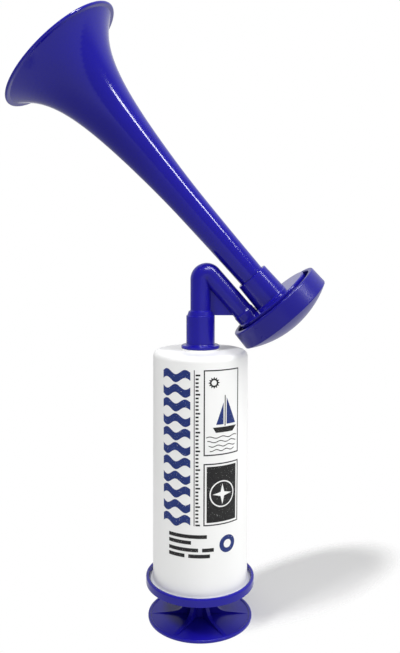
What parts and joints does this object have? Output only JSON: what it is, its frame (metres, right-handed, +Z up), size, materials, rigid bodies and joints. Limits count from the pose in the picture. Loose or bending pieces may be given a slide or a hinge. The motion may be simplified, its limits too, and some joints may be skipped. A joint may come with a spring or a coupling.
{
  "type": "air horn",
  "caption": "Hand-pumped air horn: a white pump barrel with a pull handle below, an elbow and diaphragm sound head on top, and a long flared trumpet.",
  "frame": {"origin": "centre of the underside of the handle disc, where the barrel's axis meets the ground", "axes": "+Z up along the pump barrel, +X towards the sound head, -X towards the trumpet's mouth, Y across the flat sides"},
  "size_m": [0.1595, 0.07, 0.3168],
  "materials": {
    "white_plastic": "semi-gloss moulded white plastic",
    "blue_plastic": "glossy moulded ultramarine plastic",
    "pale_plastic": "plain moulded plastic",
    "film": "thin translucent plastic film",
    "rubber": "black rubber",
    "steel": "plated steel"
  },
  "bodies": {
    "horn": {"barrel": "white_plastic", "end_cap": "blue_plastic", "elbow": "blue_plastic", "elbow_seal": "rubber", "sound_head": "blue_plastic", "diaphragm": "film", "clamp_ring": "rubber", "head_cap": "blue_plastic", "trumpet": "blue_plastic"},
    "piston": {"piston_head": "pale_plastic"},
    "handle": {"plunger": "blue_plastic", "piston_screw": "steel"},
    "seal_ring": {"piston_seal": "rubber"}
  },
  "joints": [
    {"name": "pump_slide", "type": "slide", "parent": "horn", "child": "piston", "axis": [0, 0, -1], "range_m": [0, 0.101]},
    {"name": "handle_turn", "type": "hinge", "parent": "piston", "child": "handle", "pos_m": [0, 0, 0.05], "axis": [0, 0, 1], "continuous": true},
    {"name": "seal_float", "type": "slide", "parent": "piston", "child": "seal_ring", "axis": [0, 0, 1], "range_m": [0, 0.0012]}
  ]
}
